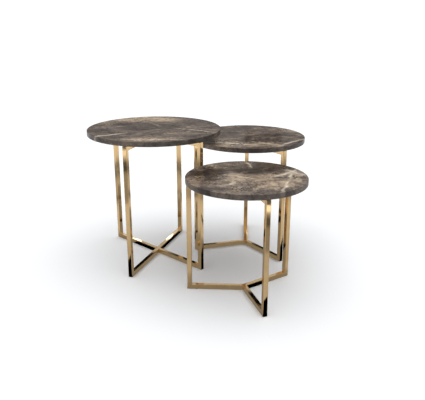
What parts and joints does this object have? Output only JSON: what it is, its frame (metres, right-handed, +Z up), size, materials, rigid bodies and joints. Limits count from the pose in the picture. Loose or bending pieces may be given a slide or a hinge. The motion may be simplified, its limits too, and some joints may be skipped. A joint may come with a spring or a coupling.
{
  "type": "nesting tables",
  "caption": "Set of round nesting side tables: dark marble tops on polished brass square-tube frames with crossed and Y-shaped floor and top rails.",
  "frame": {"origin": "centre of the set's bounding box in plan, on the floor", "axes": "+Z up; +Y from the small table towards the back of the set; +X from the large table towards the medium one"},
  "size_m": [1.0316, 1.0383, 0.63],
  "materials": {
    "dark_marble": null,
    "polished_brass": "mirror polished",
    "plated_steel": "zinc plated",
    "silicone": "translucent",
    "nylon": "matt black"
  },
  "bodies": {
    "large_table": {"large_cushion_strip": "silicone", "large_floor_glide_back_left": "nylon", "large_floor_glide_back_right": "nylon", "large_floor_glide_front_left": "nylon", "large_floor_glide_front_right": "nylon", "large_floor_rail_back_left": "polished_brass", "large_floor_rail_front_right": "polished_brass", "large_floor_rail_through": "polished_brass", "large_leg_back_left": "polished_brass", "large_leg_back_right": "polished_brass", "large_leg_front_left": "polished_brass", "large_leg_front_right": "polished_brass", "large_marble_top": "dark_marble", "large_slab_pin_back_left": "plated_steel", "large_slab_pin_back_right": "plated_steel", "large_slab_pin_front_left": "plated_steel", "large_slab_pin_front_right": "plated_steel", "large_top_rail_back_left": "polished_brass", "large_top_rail_front_right": "polished_brass", "large_top_rail_through": "polished_brass"},
    "medium_table": {"medium_cushion_strip": "silicone", "medium_floor_glide_back": "nylon", "medium_floor_glide_front_right": "nylon", "medium_floor_glide_left": "nylon", "medium_floor_rail_back": "polished_brass", "medium_floor_rail_front_right": "polished_brass", "medium_floor_rail_left": "polished_brass", "medium_leg_back": "polished_brass", "medium_leg_front_right": "polished_brass", "medium_leg_left": "polished_brass", "medium_marble_top": "dark_marble", "medium_slab_pin_back": "plated_steel", "medium_slab_pin_front_right": "plated_steel", "medium_slab_pin_left": "plated_steel", "medium_top_rail_back": "polished_brass", "medium_top_rail_front_right": "polished_brass", "medium_top_rail_left": "polished_brass"},
    "small_table": {"small_cushion_strip": "silicone", "small_floor_glide_front": "nylon", "small_floor_glide_left": "nylon", "small_floor_glide_right": "nylon", "small_floor_rail_front": "polished_brass", "small_floor_rail_left": "polished_brass", "small_floor_rail_right": "polished_brass", "small_leg_front": "polished_brass", "small_leg_left": "polished_brass", "small_leg_right": "polished_brass", "small_marble_top": "dark_marble", "small_slab_pin_front": "plated_steel", "small_slab_pin_left": "plated_steel", "small_slab_pin_right": "plated_steel", "small_top_rail_front": "polished_brass", "small_top_rail_left": "polished_brass", "small_top_rail_right": "polished_brass"}
  },
  "joints": [
    {"name": "medium_slide", "type": "slide", "parent": "large_table", "child": "medium_table", "axis": [0.9726, 0.2325, 0], "range_m": [-0.13, 0.3]},
    {"name": "small_slide", "type": "slide", "parent": "large_table", "child": "small_table", "axis": [0.279, -0.9603, 0], "range_m": [0, 0.3]}
  ]
}
